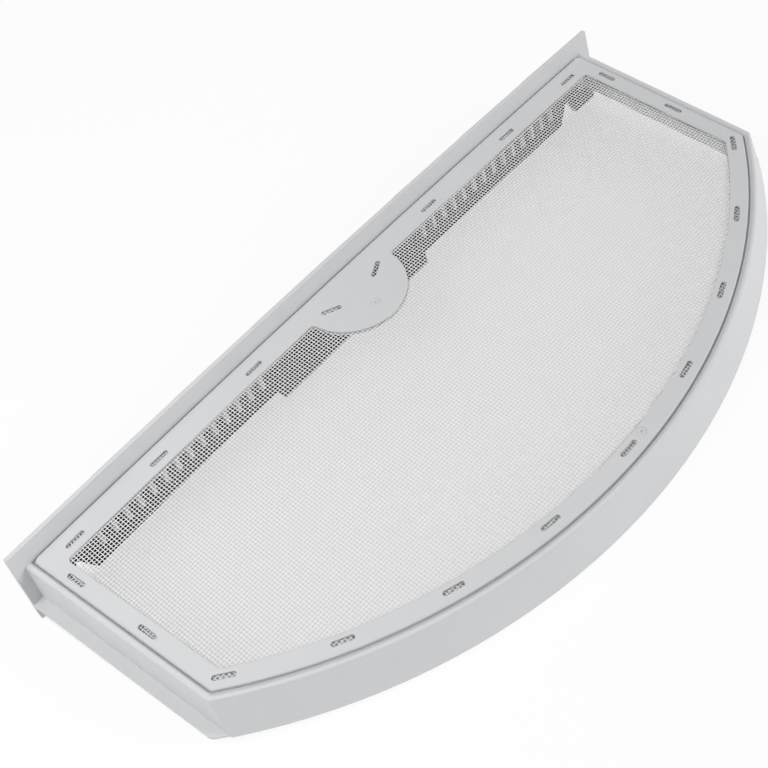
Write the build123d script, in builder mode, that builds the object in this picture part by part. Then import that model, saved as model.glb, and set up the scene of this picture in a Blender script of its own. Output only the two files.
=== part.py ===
import math
import os

from build123d import *

# Lint filter of a tumble dryer. A woven screen in a D-shaped frame lies in the rim of a shallow
# housing, open below, with a leaning face plate along its straight edge.
# Millimetres, +Z up. X runs along the straight edge and the curved front faces -Y. The origin is the
# centre of the footprint, level with the foot of the face plate.

# Outline of the screen frame
half_back = 188.5
half_front = 182.3
side_depth = 102.7
screen_depth = 170.0
back_bow = 2.3
frame_corner = 2.5

# Screen frame
frame_thickness = 2.4
frame_proud = 0.4
frame_edge = 0.5
border_side = 8.6
border_front = 8.4
border_back = 12.0
opening_corner = 2.0
tab_radius = 27.0
tab_centre = 9.0
tab_blend = 2.5

# Moulding slots and round marks in the frame
slot_length = 10.0
slot_width = 2.4
slot_bevel = 0.75
slot_back_shares = (0.324, 0.642, 0.905)
slot_back_inset = 7.2
slot_side_along = (22.7, 64.5)
slot_side_inset = 4.0
slot_front_inset = 5.0
slot_front_pitch = 9.85
slot_front_pairs = 4
tab_slot_x = 15.5
tab_slot_inset = 11.0
tab_slot_angle = 27.0
mark_radius = 2.2
mark_depth = 0.2
gate_radius = 0.6
gate_depth = 0.6
tab_mark_inset = 25.0
front_mark_x = 10.0
front_mark_inset = 5.5

# Woven screen
mesh_sheet = 0.4
thread_height = 0.2
thread_width = 2.0
thread_pitch = 6.6
gap_threads = 3
mesh_inset = 2.2
mesh_clearance = 0.2
mesh_cover = 0.8

# Housing walls
rim_height = 31.0
wall_height = 21.6
wall_thickness = 2.0
side_rim = 3.8
front_rim = 3.6
side_groove = 0.6
front_groove = 0.9
side_slope = 1.0
front_slope = 1.4
slope_depth = 1.0
side_draft = 4.2
front_draft = 16.7
wall_corner = 2.0
rim_round = 0.7
rim_facets = 3
ledge_thickness = 2.0
ledge_side = 5.4
ledge_front = 7.2
ledge_back = 9.4
rail_width = 5.4
rail_thickness = 1.2
rail_round = 5.0
rail_inset = 0.2

# Face plate
plate_half = 199.5
plate_rise = 10.0
plate_thickness = 2.0
plate_lean = 6.4
plate_taper = 2.1
plate_edge = 0.5
plate_corner = 1.2
face_gap = 0.75
back_skin = 0.1

# Finger recess in the face plate, notches in its foot, and ribs inside it
grip_half = 50.0
grip_step = 6.0
grip_foot = 3.0
grip_corner = 4.0
rib_width = 2.2
rib_depth = 3.2
rib_length = 16.5
rib_pitch = 7.8
rib_count = 14
rib_start = 58.0
notch_inset = 14.5
notch_half = 7.0
notch_height = 13.0

# Felt
felt_thickness = 2.0
felt_gap = 0.1
felt_foot = 0.8
felt_top_gap = 2.0
felt_clearance = 0.3
felt_end_gap = 3.5

# Derived values
lean_rate = math.tan(math.radians(plate_lean))
side_rate = math.tan(math.radians(side_draft))
front_rate = math.tan(math.radians(front_draft))
plate_height = rim_height + plate_rise
plate_back = back_bow + face_gap + plate_rise * lean_rate + plate_thickness
front_reach = screen_depth + front_rim + wall_height * front_rate
edge_y = (front_reach - plate_back) / 2
taper = math.atan2(half_back - half_front, side_depth)
front_sag = screen_depth - side_depth
front_radius = (half_front**2 + front_sag**2) / (2 * front_sag)
front_centre = edge_y - screen_depth + front_radius
back_radius = (half_back**2 + back_bow**2) / (2 * back_bow)
back_centre = edge_y + back_bow - back_radius
frame_top = rim_height + frame_proud
seat_z = frame_top - frame_thickness
ledge_z = seat_z - ledge_thickness
wall_foot = rim_height - wall_height
mesh_height = mesh_sheet + 2 * thread_height
mesh_z = frame_top - mesh_cover - mesh_height
gap_size = thread_pitch - thread_width
gap_pitch = gap_threads * thread_pitch
notch_x = half_back - notch_inset
slot_long = slot_length / 2
slot_short = slot_width / 2
slot_points = [
    (slot_long, slot_short - slot_bevel),
    (slot_long - slot_bevel, slot_short),
    (slot_bevel - slot_long, slot_short),
    (-slot_long, slot_short - slot_bevel),
    (-slot_long, slot_bevel - slot_short),
    (slot_bevel - slot_long, -slot_short),
    (slot_long - slot_bevel, -slot_short),
    (slot_long, slot_bevel - slot_short),
]


def side_point(margin, along):
    """Point on the right-hand side line, moved out by margin, at a distance along it from the back."""
    x = half_back + margin * math.cos(taper) - along * math.sin(taper)
    y = edge_y - margin * math.sin(taper) - along * math.cos(taper)
    return x, y


def side_crossing(margin, centre, radius, sign):
    """Where that side line crosses a circle centred on the middle line."""
    x, y = side_point(margin, 0)
    half_b = x * math.sin(taper) + (y - centre) * math.cos(taper)
    rest = x**2 + (y - centre) ** 2 - radius**2
    return side_point(margin, half_b + sign * math.sqrt(half_b**2 - rest))


def d_outline(side, front, back, mode=Mode.ADD):
    """D-shaped face: the edge of the screen frame, moved out by a margin on each of its sides."""
    far = back_radius + back
    near = front_radius + front
    bx, by = side_crossing(side, back_centre, far, -1)
    fx, fy = side_crossing(side, front_centre, near, 1)
    with BuildLine() as rounds:
        ThreePointArc((-bx, by), (0, back_centre + far), (bx, by))
        Line((bx, by), (fx, fy))
        ThreePointArc((fx, fy), (0, front_centre - near), (-fx, fy))
        Line((-fx, fy), (-bx, by))
    make_face(rounds.edges(), mode=mode)


def side_wall(drop):
    """Outer margin of the side walls at a depth below the rim."""
    return side_rim + drop * side_rate


def front_wall(drop):
    """Outer margin of the front wall at a depth below the rim."""
    return front_rim + drop * front_rate


def plate_face(z):
    """Margin of the face plate's inner face at a height above its foot."""
    return face_gap + (z - rim_height) * lean_rate


def back_y(x, margin):
    """Y of a bowed line that runs at a margin behind the frame's straight edge."""
    return back_centre + math.sqrt((back_radius + margin) ** 2 - x**2)


def inside_opening(x, y):
    """True where a gap of the screen lies well inside the frame's opening."""
    reach = gap_size / 2 + thread_width
    x_side = side_point(-border_side, (edge_y - y) / math.cos(taper))[0]
    clear_front = math.hypot(x, y - front_centre) + 2 * reach < front_radius - border_front
    clear_back = y + reach < back_y(x, -border_back)
    clear_tab = math.hypot(x, y - edge_y + tab_centre) > tab_radius + 2 * reach
    return abs(x) + reach < x_side and clear_front and clear_back and clear_tab


def plate_profile(x, depth, low, high):
    """Upright face across the plate's inner side: depth inwards, between two heights."""
    with BuildLine() as sides:
        Polyline(
            (back_y(x, plate_face(low)) - depth, low),
            (back_y(x, plate_face(high)) - depth, high),
            (back_y(x, plate_face(high)) + plate_thickness / 2, high),
            (back_y(x, plate_face(low)) + plate_thickness / 2, low),
            close=True,
        )
    make_face(sides.edges())


def foot_notches():
    """Pointed notches in the foot of the face plate, seen square on."""
    for side in (-1, 1):
        with BuildLine() as notch:
            Polyline(
                (side * notch_x - notch_half, 0),
                (side * notch_x, notch_height),
                (side * notch_x + notch_half, 0),
                close=True,
            )
        make_face(notch.edges())


rib_x = [rib_start + rib_pitch * i for i in range(rib_count)]
rib_x = rib_x + [-x for x in rib_x]
rib_foot = ledge_z - rib_length

# Rounded rim: depth below the top and how far the wall draws in there
rim_turns = [math.radians(90 * i / rim_facets) for i in range(rim_facets + 1)]
rim_steps = [(rim_round * (1 - math.cos(t)), rim_round * (1 - math.sin(t))) for t in rim_turns]

# Face plate: a leaning strip swept about the far-off axis of the bow, its ends cut with a slight taper
with BuildPart() as plate:
    sweep_half = math.asin((plate_half + plate_thickness) / back_radius)
    start_x = (-math.sin(sweep_half), math.cos(sweep_half), 0)
    start_z = (math.cos(sweep_half), math.sin(sweep_half), 0)
    with BuildSketch(Plane(origin=(0, back_centre, 0), x_dir=start_x, z_dir=start_z)) as strip_section:
        foot_r = back_radius + plate_face(0)
        top_r = back_radius + plate_face(plate_height)
        with BuildLine():
            Polyline(
                (foot_r, 0),
                (foot_r + plate_thickness, 0),
                (top_r + plate_thickness, plate_height),
                (top_r, plate_height),
                close=True,
            )
        make_face()
        fillet(strip_section.vertices(), radius=plate_edge)
    revolve(
        axis=Axis((0, back_centre, 0), (0, 0, -1)),
        revolution_arc=2 * math.degrees(sweep_half),
    )
    with BuildSketch(Plane.XZ.offset(-edge_y)) as plate_front:
        with BuildLine():
            Polyline(
                (-plate_half, 0),
                (plate_half, 0),
                (plate_half - plate_taper, plate_height),
                (plate_taper - plate_half, plate_height),
                close=True,
            )
        make_face()
        fillet(plate_front.vertices(), radius=plate_corner)
    extrude(amount=half_back, both=True, mode=Mode.INTERSECT)

# Housing: drafted walls, rim, ledge, rails and face plate in one moulding
with BuildPart() as housing:
    for drop, shrink in rim_steps + [(wall_height, 0)]:
        with BuildSketch(Plane.XY.offset(rim_height - drop)) as wall_line:
            back = plate_face(rim_height - drop) + plate_thickness / 2
            d_outline(side_wall(drop) - shrink, front_wall(drop) - shrink, back)
            fillet(wall_line.vertices().group_by(Axis.Y)[0], radius=wall_corner)
    loft(ruled=True)
    with BuildSketch(Plane.XY.offset(rim_height)) as seat:
        d_outline(side_groove, front_groove, face_gap)
        fillet(seat.vertices().group_by(Axis.Y)[0], radius=frame_corner)
    extrude(amount=seat_z - rim_height, mode=Mode.SUBTRACT)
    for drop, share in ((0, 1), (slope_depth, 0)):
        with BuildSketch(Plane.XY.offset(rim_height - drop)) as lead_in:
            d_outline(side_groove + share * side_slope, front_groove + share * front_slope, face_gap)
            fillet(lead_in.vertices().group_by(Axis.Y)[0], radius=frame_corner)
    loft(ruled=True, mode=Mode.SUBTRACT)
    with BuildSketch(Plane.XY.offset(wall_foot)) as rail_line:
        rail_front = front_wall(wall_height - rail_thickness) - rail_inset
        rail_back = plate_face(wall_foot) + plate_thickness / 2
        d_outline(side_wall(wall_height) + rail_width, rail_front, rail_back)
        fillet(rail_line.vertices().group_by(Axis.Y)[0], radius=rail_round)
    extrude(amount=rail_thickness)
    for drop in (rim_height - ledge_z, wall_height + wall_thickness):
        with BuildSketch(Plane.XY.offset(rim_height - drop)) as hollow_line:
            back = plate_face(rim_height - drop) - back_skin
            d_outline(side_wall(drop) - wall_thickness, front_wall(drop) - wall_thickness, back)
            fillet(hollow_line.vertices().group_by(Axis.Y)[0], radius=wall_corner)
    loft(ruled=True, mode=Mode.SUBTRACT)
    with BuildSketch(Plane.XY.offset(seat_z)) as ledge_hole:
        d_outline(-ledge_side, -ledge_front, -ledge_back)
        fillet(ledge_hole.vertices(), radius=opening_corner)
    extrude(amount=-ledge_thickness, mode=Mode.SUBTRACT)
    add(plate.part)
    with BuildSketch(Plane.YZ):
        plate_profile(0, grip_step, 0, ledge_z)
    extrude(amount=grip_half, both=True)
    for x in rib_x:
        with BuildSketch(Plane.YZ.offset(x)):
            plate_profile(x, rib_depth, rib_foot, ledge_z)
        extrude(amount=rib_width / 2, both=True)
    with BuildSketch(Plane.XZ.offset(-edge_y)):
        foot_notches()
    extrude(amount=notch_height, both=True, mode=Mode.SUBTRACT)
    grip_middle = (grip_foot + ledge_z - wall_thickness) / 2
    grip_origin = (0, back_y(0, plate_face(grip_middle)) + 2 * plate_thickness, grip_middle)
    grip_normal = (0, math.cos(math.radians(plate_lean)), -math.sin(math.radians(plate_lean)))
    with BuildSketch(Plane(origin=grip_origin, x_dir=(-1, 0, 0), z_dir=grip_normal)) as grip:
        Rectangle(2 * (grip_half - wall_thickness), ledge_z - wall_thickness - grip_foot)
        fillet(grip.vertices(), radius=grip_corner)
    extrude(amount=wall_thickness - grip_step - 2 * plate_thickness, mode=Mode.SUBTRACT)

# Screen frame: D-shaped ring with a half-round tab, moulded round the edge of the screen
with BuildPart() as screen_frame:
    with BuildSketch(Plane.XY.offset(seat_z)) as frame_line:
        d_outline(0, 0, 0)
        fillet(frame_line.vertices(), radius=frame_corner)
    extrude(amount=frame_thickness)
    with BuildSketch(Plane.XY.offset(seat_z)) as opening:
        d_outline(-border_side, -border_front, -border_back)
        fillet(opening.vertices(), radius=opening_corner)
        with Locations((0, edge_y - tab_centre)):
            Circle(tab_radius, mode=Mode.SUBTRACT)
        fillet(opening.vertices().sort_by(lambda v: abs(v.X))[:2], radius=tab_blend)
    extrude(amount=frame_thickness, mode=Mode.SUBTRACT)
    chamfer(screen_frame.faces().sort_by(Axis.Z)[-1].outer_wire().edges(), length=frame_edge)
    with BuildSketch(Plane.XY.offset(mesh_z)) as slit:
        d_outline(-mesh_inset, -mesh_inset, -mesh_inset)
        fillet(slit.vertices(), radius=frame_corner)
    extrude(amount=mesh_height, mode=Mode.SUBTRACT)
    with BuildSketch(Plane.XY.offset(frame_top)):
        for share in slot_back_shares:
            x = share * half_back
            for side in (-1, 1):
                turn = -math.degrees(math.asin(side * x / back_radius))
                with Locations(Location((side * x, back_y(x, -slot_back_inset), 0), turn)):
                    Polygon(*slot_points)
        for along in slot_side_along:
            for side in (-1, 1):
                px, py = side_point(-slot_side_inset, along)
                turn = 90 - side * math.degrees(taper)
                with Locations(Location((side * px, py, 0), turn)):
                    Polygon(*slot_points)
        for i in range(-slot_front_pairs, slot_front_pairs + 1):
            turn = i * slot_front_pitch
            reach = front_radius - slot_front_inset
            px = reach * math.sin(math.radians(turn))
            py = front_centre - reach * math.cos(math.radians(turn))
            with Locations(Location((px, py, 0), turn)):
                Polygon(*slot_points)
        for side in (-1, 1):
            tab_slot = Location((side * tab_slot_x, edge_y - tab_slot_inset, 0), side * tab_slot_angle)
            with Locations(tab_slot):
                Polygon(*slot_points)
    extrude(amount=-frame_thickness, mode=Mode.SUBTRACT)
    front_mark_r = front_radius - front_mark_inset
    front_mark_y = front_centre - math.sqrt(front_mark_r**2 - front_mark_x**2)
    for radius, depth in ((mark_radius, mark_depth), (gate_radius, gate_depth)):
        with BuildSketch(Plane.XY.offset(frame_top)):
            with Locations((0, edge_y - tab_mark_inset), (front_mark_x, front_mark_y)):
                Circle(radius)
        extrude(amount=-depth, mode=Mode.SUBTRACT)

# Woven screen: thin sheet with crossing thread ridges and gaps, its margin held in the slit of the frame
with BuildPart() as mesh:
    mesh_margin = -mesh_inset - mesh_clearance
    thread_margin = mesh_margin - mesh_inset
    with BuildSketch(Plane.XY.offset(mesh_z + thread_height)) as mesh_line:
        d_outline(mesh_margin, mesh_margin, mesh_margin)
        fillet(mesh_line.vertices(), radius=frame_corner)
    extrude(amount=mesh_sheet)
    mesh_mid = edge_y - screen_depth / 2
    thread_columns = 2 * math.ceil(half_back / thread_pitch)
    thread_rows = 2 * math.ceil(screen_depth / 2 / thread_pitch)
    with BuildSketch(Plane.XY.offset(mesh_z + thread_height + mesh_sheet)):
        with Locations((0, mesh_mid)):
            with GridLocations(thread_pitch, 1, thread_columns, 1):
                Rectangle(thread_width, 2 * screen_depth)
        d_outline(thread_margin, thread_margin, thread_margin, Mode.INTERSECT)
    extrude(amount=thread_height)
    with BuildSketch(Plane.XY.offset(mesh_z)):
        with Locations((0, mesh_mid)):
            with GridLocations(1, thread_pitch, 1, thread_rows):
                Rectangle(4 * half_back, thread_width)
        d_outline(thread_margin, thread_margin, thread_margin, Mode.INTERSECT)
    extrude(amount=thread_height)
    gap_columns = math.ceil(half_back / gap_pitch)
    gap_rows = math.ceil(screen_depth / 2 / gap_pitch)
    gap_x = [gap_pitch * i for i in range(-gap_columns, gap_columns + 1)]
    gap_y = [mesh_mid + gap_pitch * i for i in range(-gap_rows, gap_rows + 1)]
    gap_spots = [(x, y) for x in gap_x for y in gap_y if inside_opening(x, y)]
    with BuildSketch(Plane.XY.offset(mesh_z)):
        with Locations(gap_spots):
            Rectangle(gap_size, gap_size)
    extrude(amount=mesh_height, mode=Mode.SUBTRACT)

# Felt strip on the inside of the face plate: stepped round the finger recess, notched for the ribs and
# the foot, its lower half running on under the side walls to the ends of the plate
felt_end = plate_half - felt_end_gap
felt_step = grip_half + felt_gap
felt_top = ledge_z - felt_top_gap
felt_shoulder = wall_foot - felt_clearance
with BuildPart() as seal_strip:
    for z in (felt_foot, felt_top):
        with BuildSketch(Plane.XY.offset(z)):
            outer = plate_face(z) - back_skin - felt_gap
            inner = outer - felt_thickness
            step_y = back_y(0, plate_face(z)) - grip_step - felt_gap
            turn_x = felt_step + felt_thickness
            mid_x = (felt_step + felt_end) / 2
            with BuildLine():
                ThreePointArc(
                    (-felt_end, back_y(felt_end, outer)),
                    (-mid_x, back_y(mid_x, outer)),
                    (-felt_step, back_y(felt_step, outer)),
                )
                Polyline(
                    (-felt_step, back_y(felt_step, outer)),
                    (-felt_step, step_y),
                    (felt_step, step_y),
                    (felt_step, back_y(felt_step, outer)),
                )
                ThreePointArc(
                    (felt_step, back_y(felt_step, outer)),
                    (mid_x, back_y(mid_x, outer)),
                    (felt_end, back_y(felt_end, outer)),
                )
                Line((felt_end, back_y(felt_end, outer)), (felt_end, back_y(felt_end, inner)))
                ThreePointArc(
                    (felt_end, back_y(felt_end, inner)),
                    (mid_x, back_y(mid_x, inner)),
                    (turn_x, back_y(turn_x, inner)),
                )
                Polyline(
                    (turn_x, back_y(turn_x, inner)),
                    (turn_x, step_y - felt_thickness),
                    (-turn_x, step_y - felt_thickness),
                    (-turn_x, back_y(turn_x, inner)),
                )
                ThreePointArc(
                    (-turn_x, back_y(turn_x, inner)),
                    (-mid_x, back_y(mid_x, inner)),
                    (-felt_end, back_y(felt_end, inner)),
                )
                Line((-felt_end, back_y(felt_end, inner)), (-felt_end, back_y(felt_end, outer)))
            make_face()
    loft(ruled=True)
    for x in rib_x:
        with BuildSketch(Plane.YZ.offset(x)):
            plate_profile(x, grip_step, rib_foot - felt_clearance, ledge_z)
        extrude(amount=rib_width / 2 + felt_clearance, both=True, mode=Mode.SUBTRACT)
    with BuildSketch(Plane.XZ.offset(-edge_y)):
        foot_notches()
        for side in (-1, 1):
            with Locations((side * (half_back + felt_end) / 2, (felt_shoulder + ledge_z) / 2)):
                Rectangle(felt_end - half_back + 2 * felt_end_gap, ledge_z - felt_shoulder)
    extrude(amount=notch_height, both=True, mode=Mode.SUBTRACT)

os.makedirs("parts", exist_ok=True)
housing.part.label = "housing"
export_step(housing.part, "parts/housing.step")
screen_frame.part.label = "screen_frame"
export_step(screen_frame.part, "parts/screen_frame.step")
mesh.part.label = "mesh"
export_step(mesh.part, "parts/mesh.step")
seal_strip.part.label = "seal_strip"
export_step(seal_strip.part, "parts/seal_strip.step")
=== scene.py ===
# %% [markdown]
# # A tumble dryer lint filter
# The filter is a shallow grey moulding with a woven screen held in a D-shaped frame. The construction
# model already has every rigid shape, so this lesson keeps those solids as they are. It gives them a
# moulded finish, weaves the screen thread by thread, and makes the felt strip soft. Blender works in
# metres here, so sizes that are easier to read in millimetres are multiplied by one small constant.

# %% Load the frame
import math

import bpy
from mathutils import Matrix, Vector, geometry, noise


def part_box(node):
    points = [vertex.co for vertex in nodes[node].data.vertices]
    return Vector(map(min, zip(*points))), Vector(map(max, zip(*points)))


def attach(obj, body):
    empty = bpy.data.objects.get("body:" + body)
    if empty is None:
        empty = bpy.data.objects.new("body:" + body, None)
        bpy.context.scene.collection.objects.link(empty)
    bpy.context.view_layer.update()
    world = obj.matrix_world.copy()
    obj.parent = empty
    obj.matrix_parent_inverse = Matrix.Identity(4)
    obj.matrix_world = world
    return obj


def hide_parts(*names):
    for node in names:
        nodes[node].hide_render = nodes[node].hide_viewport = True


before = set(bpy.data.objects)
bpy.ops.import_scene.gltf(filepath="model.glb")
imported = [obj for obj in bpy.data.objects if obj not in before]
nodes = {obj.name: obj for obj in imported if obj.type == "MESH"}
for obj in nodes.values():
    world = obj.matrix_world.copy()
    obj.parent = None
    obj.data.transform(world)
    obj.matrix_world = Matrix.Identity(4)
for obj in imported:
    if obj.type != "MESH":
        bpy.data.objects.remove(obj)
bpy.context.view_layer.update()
MM = 0.001
for name, node in nodes.items():
    print("construction node", name, "with", len(node.data.polygons), "faces")

# %% [markdown]
# ## Two helpers for all the materials
# A colour given as six hex digits is an sRGB value, while a shader adds up light, so it needs the linear
# value.
# One function does that for every colour. A shader is a graph of nodes, and typing each link by hand
# hides its idea, so one more function adds a node, sets its options and fills or links its inputs.

# %% Colour and node helpers
def linear(hex_code):
    """Linear RGBA of an sRGB colour written as six hex digits."""
    steps = [int(hex_code[i:i + 2], 16) / 255 for i in (0, 2, 4)]
    return [s / 12.92 if s <= 0.04045 else ((s + 0.055) / 1.055) ** 2.4 for s in steps] + [1.0]


def add_node(tree, kind, settings=None, inputs=None):
    """Adds one node to a shader. An input takes a value, or the socket that it is linked to."""
    made = tree.nodes.new(kind)
    for key, value in (settings or {}).items():
        setattr(made, key, value)
    for key, value in (inputs or {}).items():
        if isinstance(value, bpy.types.NodeSocket):
            tree.links.new(value, made.inputs[key])
        else:
            made.inputs[key].default_value = value
    return made


def new_material(name):
    """An empty material, with its node tree and its output node."""
    material = bpy.data.materials.new(name)
    material.use_nodes = True
    material.node_tree.nodes.clear()
    return material, material.node_tree, add_node(material.node_tree, "ShaderNodeOutputMaterial")


print("mid grey 808080 in linear light:", round(linear("808080")[0], 3))

# %% [markdown]
# ## Moulded polypropylene
# Housing and frame are light-grey polypropylene, injected into a tool whose faces were spark-eroded.
# That leaves a fine, even grain of about 0.1 mm that kills mirror reflections, so the eye sees a soft
# satin. Where the melt ran, the grey drifts by a percent or two over a few centimetres. The grain is
# too fine for the picture, so it is drawn 0.5 mm wide. Its depth is kept to a few hundredths of one.
# No moulded edge is quite sharp, so a bevel node bends the light round each by a third of a millimetre.

# %% Polypropylene, spark-eroded
PP_IOR = 1.49
FLOW_SIZE = 55 * MM
GRAIN_SIZE = 0.5 * MM
EDGE_ROUND = 0.3 * MM


def moulded_polypropylene(name, light_hex, dark_hex):
    """Satin moulded plastic: a slow drift of two near greys under a fine spark-eroded grain."""
    material, tree, output = new_material(name)
    place = add_node(tree, "ShaderNodeTexCoord").outputs["Object"]
    flow = add_node(tree, "ShaderNodeTexNoise", None,
                    {"Vector": place, "Scale": 1 / FLOW_SIZE, "Detail": 3.0, "Roughness": 0.55})
    grain = add_node(tree, "ShaderNodeTexNoise", None,
                     {"Vector": place, "Scale": 1 / GRAIN_SIZE, "Detail": 2.0, "Roughness": 0.6})
    colour = add_node(tree, "ShaderNodeMix", {"data_type": "RGBA"},
                      {0: flow.outputs["Fac"], 6: linear(light_hex), 7: linear(dark_hex)})
    gloss = add_node(tree, "ShaderNodeMapRange", None,
                     {"Value": grain.outputs["Fac"], "To Min": 0.42, "To Max": 0.56})
    edge = add_node(tree, "ShaderNodeBevel", {"samples": 6}, {"Radius": EDGE_ROUND})
    bump = add_node(tree, "ShaderNodeBump", None,
                    {"Height": grain.outputs["Fac"], "Strength": 0.35, "Distance": 0.03 * MM,
                     "Normal": edge.outputs["Normal"]})
    shader = add_node(tree, "ShaderNodeBsdfPrincipled", None,
                      {"Base Color": colour.outputs[2], "Roughness": gloss.outputs["Result"],
                       "IOR": PP_IOR, "Normal": bump.outputs["Normal"]})
    tree.links.new(shader.outputs["BSDF"], output.inputs["Surface"])
    return material


housing_plastic = moulded_polypropylene("polypropylene_moulded_housing", "D1D2D3", "C8C9CB")
frame_plastic = moulded_polypropylene("polypropylene_moulded_frame", "D0D1D2", "C6C7C9")
for name, material in (("housing", housing_plastic), ("screen_frame", frame_plastic)):
    for slot in nodes[name].material_slots:
        slot.material = material
    print(name, "takes", material.name)

# %% [markdown]
# ## The woven screen
# The screen is a plain weave of white polyester monofilament, stretched flat while the frame is moulded
# round its edge. A bump map could only pretend that there are holes, and the dark felt has to show
# through real ones, so each thread is a real tube that runs over one crossing thread and under the
# next. The real spacing seems to be under a millimetre. It is drawn at 1.6 mm, because a finer weave
# would blur to a plain grey in the picture. The D outline comes from the construction solid seen from
# above: it is convex, so the hull of its points is its edge. Its flat area is worked out too, though
# nothing here uses it.

# %% Outline of the screen
screen_node = nodes["mesh"]
flat_points = [Vector(v.co.xy) for v in screen_node.data.vertices]
screen_edge = [flat_points[i] for i in geometry.convex_hull_2d(flat_points)]
screen_low, screen_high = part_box("mesh")
mid_height = (screen_low.z + screen_high.z) / 2
half_height = (screen_high.z - screen_low.z) / 2


def cross_span(outline, axis, at):
    """Lowest and highest place where a line at one coordinate crosses a convex outline."""
    hits = []
    for a, b in zip(outline, outline[1:] + outline[:1]):
        if (a[axis] - at) * (b[axis] - at) < 0:
            share = (at - a[axis]) / (b[axis] - a[axis])
            hits.append(a[1 - axis] + share * (b[1 - axis] - a[1 - axis]))
    return (min(hits), max(hits)) if hits else None


def shoelace(outline):
    """Flat area inside an outline."""
    pairs = zip(outline, outline[1:] + outline[:1])
    return abs(sum(a.x * b.y - a.y * b.x for a, b in pairs)) / 2


screen_area = shoelace(screen_edge)

# %% [markdown]
# ## One thread
# A thread rises over one crossing thread and dips under the next, as the loom leaves it. A curve with a
# round bevel could draw it, but both sets of threads would then have many more faces than a picture of
# threads a pixel wide can show. A tube with four sides, shaded smooth, looks the same from here. So each
# thread is a row of rings: one at each crossing, and one at each end, where the frame hides it.

# %% Rings of one thread
THREAD_PITCH = 1.6 * MM
THREAD_RADIUS = 0.2 * MM
THREAD_SIDES = 4
thread_rise = half_height - THREAD_RADIUS


def thread_path(row, axis, span):
    """Places along one thread, and its height over the middle of the screen at each."""
    path = [(span[0], 0.0)]
    for stop in range(math.ceil(span[0] / THREAD_PITCH), math.floor(span[1] / THREAD_PITCH) + 1):
        over = 1 if (row + stop + axis) % 2 else -1
        path.append((stop * THREAD_PITCH, over * thread_rise))
    return path + [(span[1], 0.0)]


def thread_ring(axis, along, side, lift):
    """The points of one ring of a thread."""
    ring = []
    for turn in range(THREAD_SIDES):
        angle = turn * 2 * math.pi / THREAD_SIDES
        point = [0.0, 0.0, mid_height + lift + THREAD_RADIUS * math.cos(angle)]
        point[axis] = along
        point[1 - axis] = side + THREAD_RADIUS * math.sin(angle)
        ring.append(point)
    return ring


print("threads rise", round(thread_rise / MM, 2), "mm over the middle of the screen")

# %% [markdown]
# ## Both sets of threads
# Threads that run along the screen and threads that run across it are made by the same function. They
# stay two pieces, as warp and weft are on a loom. Each thread is as long as the outline lets it be, and
# the shortest ones, at the very edge, are left out because the frame covers them.

# %% Weave both sets
def weave_threads(name, axis):
    """All threads that run along one axis, as one piece."""
    verts = []
    faces = []
    first = math.ceil(screen_low[1 - axis] / THREAD_PITCH)
    last = math.floor(screen_high[1 - axis] / THREAD_PITCH)
    for row in range(first, last + 1):
        side = row * THREAD_PITCH
        span = cross_span(screen_edge, 1 - axis, side)
        if span is None or span[1] - span[0] < 2 * THREAD_PITCH:
            continue
        for count, (along, lift) in enumerate(thread_path(row, axis, span)):
            ahead = len(verts)
            back = ahead - THREAD_SIDES
            verts.extend(thread_ring(axis, along, side, lift))
            for turn in range(THREAD_SIDES if count else 0):
                after = (turn + 1) % THREAD_SIDES
                faces.append((back + turn, back + after, ahead + after, ahead + turn))
    data = bpy.data.meshes.new(name)
    data.from_pydata(verts, [], faces)
    data.polygons.foreach_set("use_smooth", [True] * len(data.polygons))
    threads = bpy.data.objects.new(name, data)
    bpy.context.scene.collection.objects.link(threads)
    print(name, "has", len(faces) * 2, "triangles")
    return threads


weft_threads = weave_threads("screen_weft_threads", 0)
warp_threads = weave_threads("screen_warp_threads", 1)

# %% [markdown]
# ## Polyester thread
# A drawn polyester thread is smooth and a little clear, so it looks white with a thin bright line along
# it. Threads differ slightly from one to the next, and a slow noise gives that drift without any
# pattern that the eye could follow.

# %% Polyester, drawn and woven
POLYESTER_IOR = 1.57
DRIFT_SIZE = 6 * MM
screen_thread, tree, output = new_material("polyester_monofilament_woven")
place = add_node(tree, "ShaderNodeTexCoord").outputs["Object"]
drift = add_node(tree, "ShaderNodeTexNoise", None,
                 {"Vector": place, "Scale": 1 / DRIFT_SIZE, "Detail": 4.0})
white = add_node(tree, "ShaderNodeMix", {"data_type": "RGBA"},
                 {0: drift.outputs["Fac"], 6: linear("FCFCFC"), 7: linear("F2F2F2")})
shine = add_node(tree, "ShaderNodeMapRange", None,
                 {"Value": drift.outputs["Fac"], "To Min": 0.3, "To Max": 0.45})
shader = add_node(tree, "ShaderNodeBsdfPrincipled", None,
                  {"Base Color": white.outputs[2], "Roughness": shine.outputs["Result"],
                   "IOR": POLYESTER_IOR})
tree.links.new(shader.outputs["BSDF"], output.inputs["Surface"])
for threads in (weft_threads, warp_threads):
    threads.data.materials.append(screen_thread)
    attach(threads, "root")
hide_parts("mesh")
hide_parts("mesh")
print("screen woven at", THREAD_PITCH / MM, "mm")

# %% [markdown]
# ## The felt strip
# A strip of black needled felt lines the inside of the face plate and shows as a dark band through the
# screen. The construction solid has the right outline but hard edges, so the soft strip starts from a
# copy of it. The strip steps round the finger recess of the housing. The softening below rounds that
# inner corner towards the housing, so the corner is first moved half a millimetre away from it.

# %% Room at the recess step
STEP_ROOM = 0.5 * MM
SAME_PLACE = 0.05 * MM
rough_felt = nodes["seal_strip"].data.copy()
step_side = min(abs(vertex.co.x) for vertex in rough_felt.vertices)
for vertex in rough_felt.vertices:
    if abs(abs(vertex.co.x) - step_side) < SAME_PLACE:
        vertex.co.x += STEP_ROOM if vertex.co.x > 0 else -STEP_ROOM
print("the recess step is at", round(step_side / MM, 1), "mm from the middle")

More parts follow.
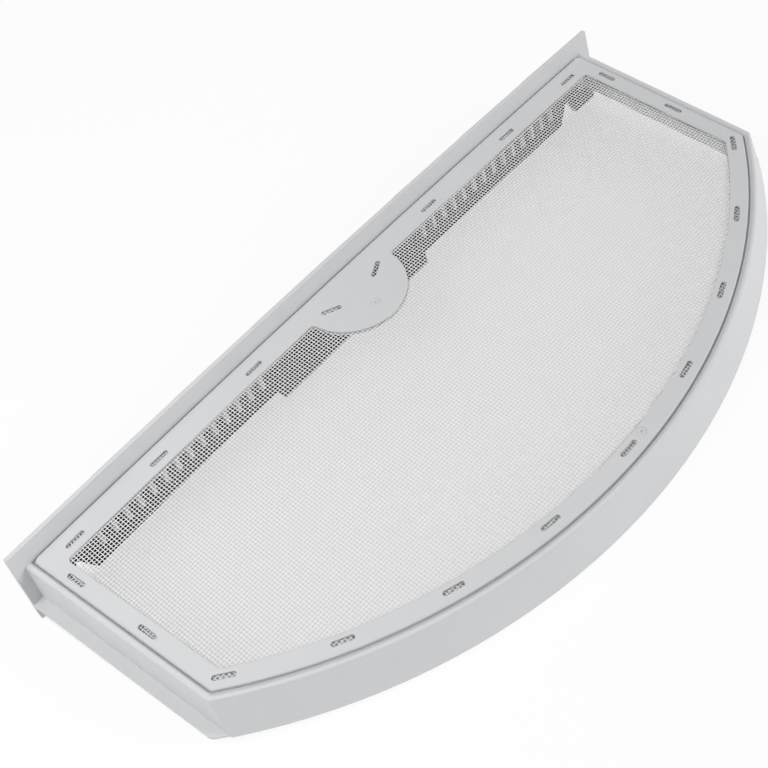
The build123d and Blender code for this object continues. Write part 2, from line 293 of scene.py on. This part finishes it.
# %% [markdown]
# ## Softening the felt
# Felt has no hard edge: its cut edges are soft and its face is slightly lumpy. A bevel would need clean
# corners, and a subdivision would pull the notches round the ribs out of shape. A voxel remesh rounds
# every edge alike and gives small even faces, and a noise then moves each point by a tenth of a
# millimetre, as matted fibres do. The remesh fills the inner corners by the ribs a little, so all of
# the felt is drawn in by a third of a millimetre to stay clear of them.

# %% Soft felt
FELT_VOXEL = 0.6 * MM
FELT_LUMP = 1.6 * MM
FELT_DEPTH = 0.16 * MM
FELT_SHRINK = 0.32 * MM
FINE_LUMPS = 2.7
FINE_SHARE = 0.5
felt_strip = bpy.data.objects.new("felt_strip", rough_felt)
bpy.context.scene.collection.objects.link(felt_strip)
remesh = felt_strip.modifiers.new("even_faces", "REMESH")
remesh.mode = "VOXEL"
remesh.voxel_size = FELT_VOXEL
bpy.context.view_layer.update()
depsgraph = bpy.context.evaluated_depsgraph_get()
soft = bpy.data.meshes.new_from_object(felt_strip.evaluated_get(depsgraph))
felt_strip.modifiers.clear()
felt_strip.data = soft
moved = []
for vertex in soft.vertices:
    lump = noise.noise(vertex.co / FELT_LUMP)
    lump += FINE_SHARE * noise.noise(vertex.co / FELT_LUMP * FINE_LUMPS)
    moved.extend(vertex.co + vertex.normal * (FELT_DEPTH * lump - FELT_SHRINK))
soft.vertices.foreach_set("co", moved)
soft.polygons.foreach_set("use_smooth", [True] * len(soft.polygons))
print("felt strip has", len(soft.polygons) * 2, "triangles")

# %% [markdown]
# ## Needled felt
# Felt is a mat of dyed polyester fibres, needled together with no weave. It swallows light: the face is
# close to black, quite rough, and has a faint sheen where loose fibres catch the light at a low angle.
# A fibre is a few hundredths of a millimetre thick, too fine to show, so it is drawn 0.4 mm wide. The
# fibres run every way, so one noise for them and one for tufts of 2.5 mm are enough, and no direction
# shows.

# %% Felt, needled and dyed black
FELT_IOR = 1.5
FIBRE_SIZE = 0.4 * MM
TUFT_SIZE = 2.5 * MM
felt_black, tree, output = new_material("polyester_felt_needled")
place = add_node(tree, "ShaderNodeTexCoord").outputs["Object"]
fibre = add_node(tree, "ShaderNodeTexNoise", None,
                 {"Vector": place, "Scale": 1 / FIBRE_SIZE, "Detail": 4.0})
tuft = add_node(tree, "ShaderNodeTexNoise", None,
                {"Vector": place, "Scale": 1 / TUFT_SIZE, "Detail": 2.0})
shade = add_node(tree, "ShaderNodeMath", {"operation": "MULTIPLY"},
                 {0: fibre.outputs["Fac"], 1: tuft.outputs["Fac"]})
dye = add_node(tree, "ShaderNodeMix", {"data_type": "RGBA"},
               {0: shade.outputs["Value"], 6: linear("040404"), 7: linear("161617")})
bump = add_node(tree, "ShaderNodeBump", None,
                {"Height": fibre.outputs["Fac"], "Strength": 0.6, "Distance": 0.15 * MM})
shader = add_node(tree, "ShaderNodeBsdfPrincipled", None,
                  {"Base Color": dye.outputs[2], "Roughness": 0.95, "IOR": FELT_IOR,
                   "Sheen Weight": 0.08, "Sheen Roughness": 0.6, "Normal": bump.outputs["Normal"]})
tree.links.new(shader.outputs["BSDF"], output.inputs["Surface"])
felt_strip.data.materials.clear()
felt_strip.data.materials.append(felt_black)
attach(felt_strip, "root")
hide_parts("seal_strip")

# %% [markdown]
# ## Paper
# The filter stands on white paper. Its white comes from a camera-ray mix, so it adds no light to the
# object, and a share of plain diffuse keeps the soft shadow. Under the screen the paper lies in shade,
# and it has to look darker than the threads. The even light of the scene is too soft to do that by
# itself. So each point of the sheet carries a number, `shade`, that is 1 below the filter and fades to
# 0 round the foot of its walls, and the material turns its white down by that number. The same rays see
# plain white in the paper and in the sky, so one helper adds them up.

# %% Paper with a shade painted on its points
OPEN_WHITE = 1.0
UNDER_WHITE = 0.68
OPEN_SHADOW = 0.1
UNDER_SHADOW = 0.3


def white_rays(tree):
    """1 for rays from the camera, a reflection or glass, and 0 for rays that gather light."""
    rays = add_node(tree, "ShaderNodeLightPath").outputs
    total = rays["Is Camera Ray"]
    for kind in ("Is Glossy Ray", "Is Transmission Ray"):
        added = add_node(tree, "ShaderNodeMath", {"operation": "ADD", "use_clamp": True},
                         {0: total, 1: rays[kind]})
        total = added.outputs["Value"]
    return total


paper, tree, output = new_material("paper_matte")
shade = add_node(tree, "ShaderNodeAttribute", {"attribute_name": "shade"}).outputs["Fac"]
bright = add_node(tree, "ShaderNodeMapRange", None,
                  {"Value": shade, "To Min": OPEN_WHITE, "To Max": UNDER_WHITE})
flat_share = add_node(tree, "ShaderNodeMapRange", None,
                      {"Value": shade, "To Min": 1 - OPEN_SHADOW, "To Max": 1 - UNDER_SHADOW})
share = add_node(tree, "ShaderNodeMath", {"operation": "MULTIPLY"},
                 {0: white_rays(tree), 1: flat_share.outputs["Result"]})
matte = add_node(tree, "ShaderNodeBsdfDiffuse", None, {"Color": linear("F2F2F2")})
glow = add_node(tree, "ShaderNodeEmission", None,
                {"Color": (1, 1, 1, 1), "Strength": bright.outputs["Result"]})
sheet = add_node(tree, "ShaderNodeMixShader", None,
                 {0: share.outputs["Value"], 1: matte.outputs["BSDF"], 2: glow.outputs["Emission"]})
tree.links.new(sheet.outputs["Shader"], output.inputs["Surface"])
print("paper white", OPEN_WHITE, "in the open and", UNDER_WHITE, "under the screen")

# %% [markdown]
# ## Floor
# The filter stands on the foot of its face plate and on the foot of its curved front wall, which is a
# little higher. The floor goes through both lines, so it leans by about three degrees, which nobody
# sees on an endless white sheet. It is then lowered by what still pokes through it.

# %% Lean of the floor
FRONT_ZONE = 25 * MM
PLATE_FOOT = 1 * MM
house_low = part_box("housing")[0]
house_points = nodes["housing"].data.vertices
front_foot = min(v.co.z for v in house_points if v.co.y < house_low.y + FRONT_ZONE)
back_foot = max(v.co.y for v in house_points if v.co.z < PLATE_FOOT)
floor_rate = front_foot / (back_foot - house_low.y)
touch = min(v.co.z - (back_foot - v.co.y) * floor_rate for v in house_points)
print("floor leans", round(math.degrees(math.atan(floor_rate)), 2), "degrees")

# %% [markdown]
# ## The sheet and its shade
# A plane cut into small squares could carry the shade, but only as finely as its squares. Three rings of
# points fit it better: one just inside the foot of the walls, one just outside, and one far away. The
# outline of the foot is the hull of the lowest points of the housing. It is moved back by a few
# millimetres, so that the paper behind the two notches of the face plate lies in the shade as well.

# %% Floor sheet
FLOOR_GAP = 0.2 * MM
FOOT_HEIGHT = 12 * MM
UNDER_SCALE = 0.985
FADE_SCALE = 1.015
SHADE_SHIFT = Vector((3, 5)) * MM
FLOOR_REACH = 30
foot_points = [Vector(v.co.xy) for v in house_points if v.co.z < FOOT_HEIGHT]
foot_edge = [foot_points[i] for i in geometry.convex_hull_2d(foot_points)]
rim = len(foot_edge)
spots = [p * scale + SHADE_SHIFT for scale in (UNDER_SCALE, FADE_SCALE, FLOOR_REACH) for p in foot_edge]
quads = []
for inner in (0, rim):
    for i in range(rim):
        after = (i + 1) % rim
        quads.append((inner + i, inner + rim + i, inner + rim + after, inner + after))
data = bpy.data.meshes.new("floor_sheet")
data.from_pydata([(p.x, p.y, (back_foot - p.y) * floor_rate + touch - FLOOR_GAP) for p in spots], [],
                 quads + [tuple(range(rim))])
data.attributes.new("shade", "FLOAT", "POINT").data.foreach_set("value", [1.0] * rim + [0.0] * 2 * rim)
data.materials.append(paper)
floor = bpy.data.objects.new("floor_sheet", data)
bpy.context.scene.collection.objects.link(floor)
print("floor sheet has", len(data.polygons), "faces round a foot of", rim, "points")

# %% [markdown]
# ## A light tent
# Even light from all round does most of the work, as in a light tent. The camera and the reflections
# see plain white there, and everything else gets less than half of it, so that the white background
# puts no more light on the object than it needs.

# %% World
AMBIENT = 0.415
world = bpy.data.worlds.new("light_tent")
bpy.context.scene.world = world
world.use_nodes = True
tree = world.node_tree
tree.nodes.clear()
tent = add_node(tree, "ShaderNodeBackground", None, {"Color": (1, 1, 1, 1), "Strength": AMBIENT})
white_back = add_node(tree, "ShaderNodeBackground", None, {"Color": (1, 1, 1, 1), "Strength": 1.0})
both = add_node(tree, "ShaderNodeMixShader", None,
                {0: white_rays(tree), 1: tent.outputs["Background"], 2: white_back.outputs["Background"]})
output = add_node(tree, "ShaderNodeOutputWorld", None, {"Surface": both.outputs["Shader"]})
print("light tent at", AMBIENT)

# %% [markdown]
# ## Lamps
# Two soft lamps give the even light some form: a near one high on the left, so that the level faces
# darken slowly towards the right, and a large one in front on the right, for the curved front wall.
# With the tent they light a level grey face so that it renders about as its colour is written. The
# large lamp is hidden from glossy rays, because its reflection would burn the level plastic out to
# white when it is seen from behind.

# %% Two soft lamps
def soft_lamp(name, place, size, watts):
    """A square soft lamp that points at the middle of the filter."""
    lamp = bpy.data.lights.new(name, "AREA")
    lamp.size = size
    lamp.energy = watts
    holder = bpy.data.objects.new(name, lamp)
    holder.location = place
    holder.rotation_euler = (-Vector(place)).to_track_quat("-Z", "Y").to_euler()
    bpy.context.scene.collection.objects.link(holder)
    print(name, watts, "W at", [round(c, 2) for c in place], "m")
    return holder


soft_lamp("lamp_left", (-0.5, 0.15, 0.6), 0.4, 2.9)
soft_lamp("lamp_front", (2.5, -2.65, 1.8), 2.2, 97.0).visible_glossy = False

# %% [markdown]
# ## Camera
# The photograph looks down on the filter from the left of its curved front, with the camera rolled a
# little. Aim point, distance, the two angles and the roll fix the camera, and the lens fixes the
# perspective. They were found by matching the outlines of the filter with those in the photograph.

# %% Camera
AIM = Vector((-33.4, 27.4, 31.0)) * MM
DISTANCE = 586.0 * MM
AZIMUTH = math.radians(-37.938)
ELEVATION = math.radians(51.385)
ROLL = math.radians(-13.407)
LENS = 62.72
SENSOR = 36.0
away = Vector((math.sin(AZIMUTH) * math.cos(ELEVATION), -math.cos(AZIMUTH) * math.cos(ELEVATION),
               math.sin(ELEVATION)))
level_right = (-away).cross(Vector((0, 0, 1))).normalized()
level_up = level_right.cross(-away)
right = math.cos(ROLL) * level_right + math.sin(ROLL) * level_up
up = math.cos(ROLL) * level_up - math.sin(ROLL) * level_right
camera = bpy.data.objects.new("camera", bpy.data.cameras.new("camera"))
camera.data.lens = LENS
camera.data.sensor_width = SENSOR
turned = Matrix((right, up, away)).transposed().to_4x4()
camera.matrix_world = Matrix.Translation(AIM + DISTANCE * away) @ turned
bpy.context.scene.collection.objects.link(camera)
bpy.context.scene.camera = camera
bpy.context.scene.view_settings.view_transform = "Standard"
print("camera at", [round(c, 3) for c in AIM + DISTANCE * away], "m")
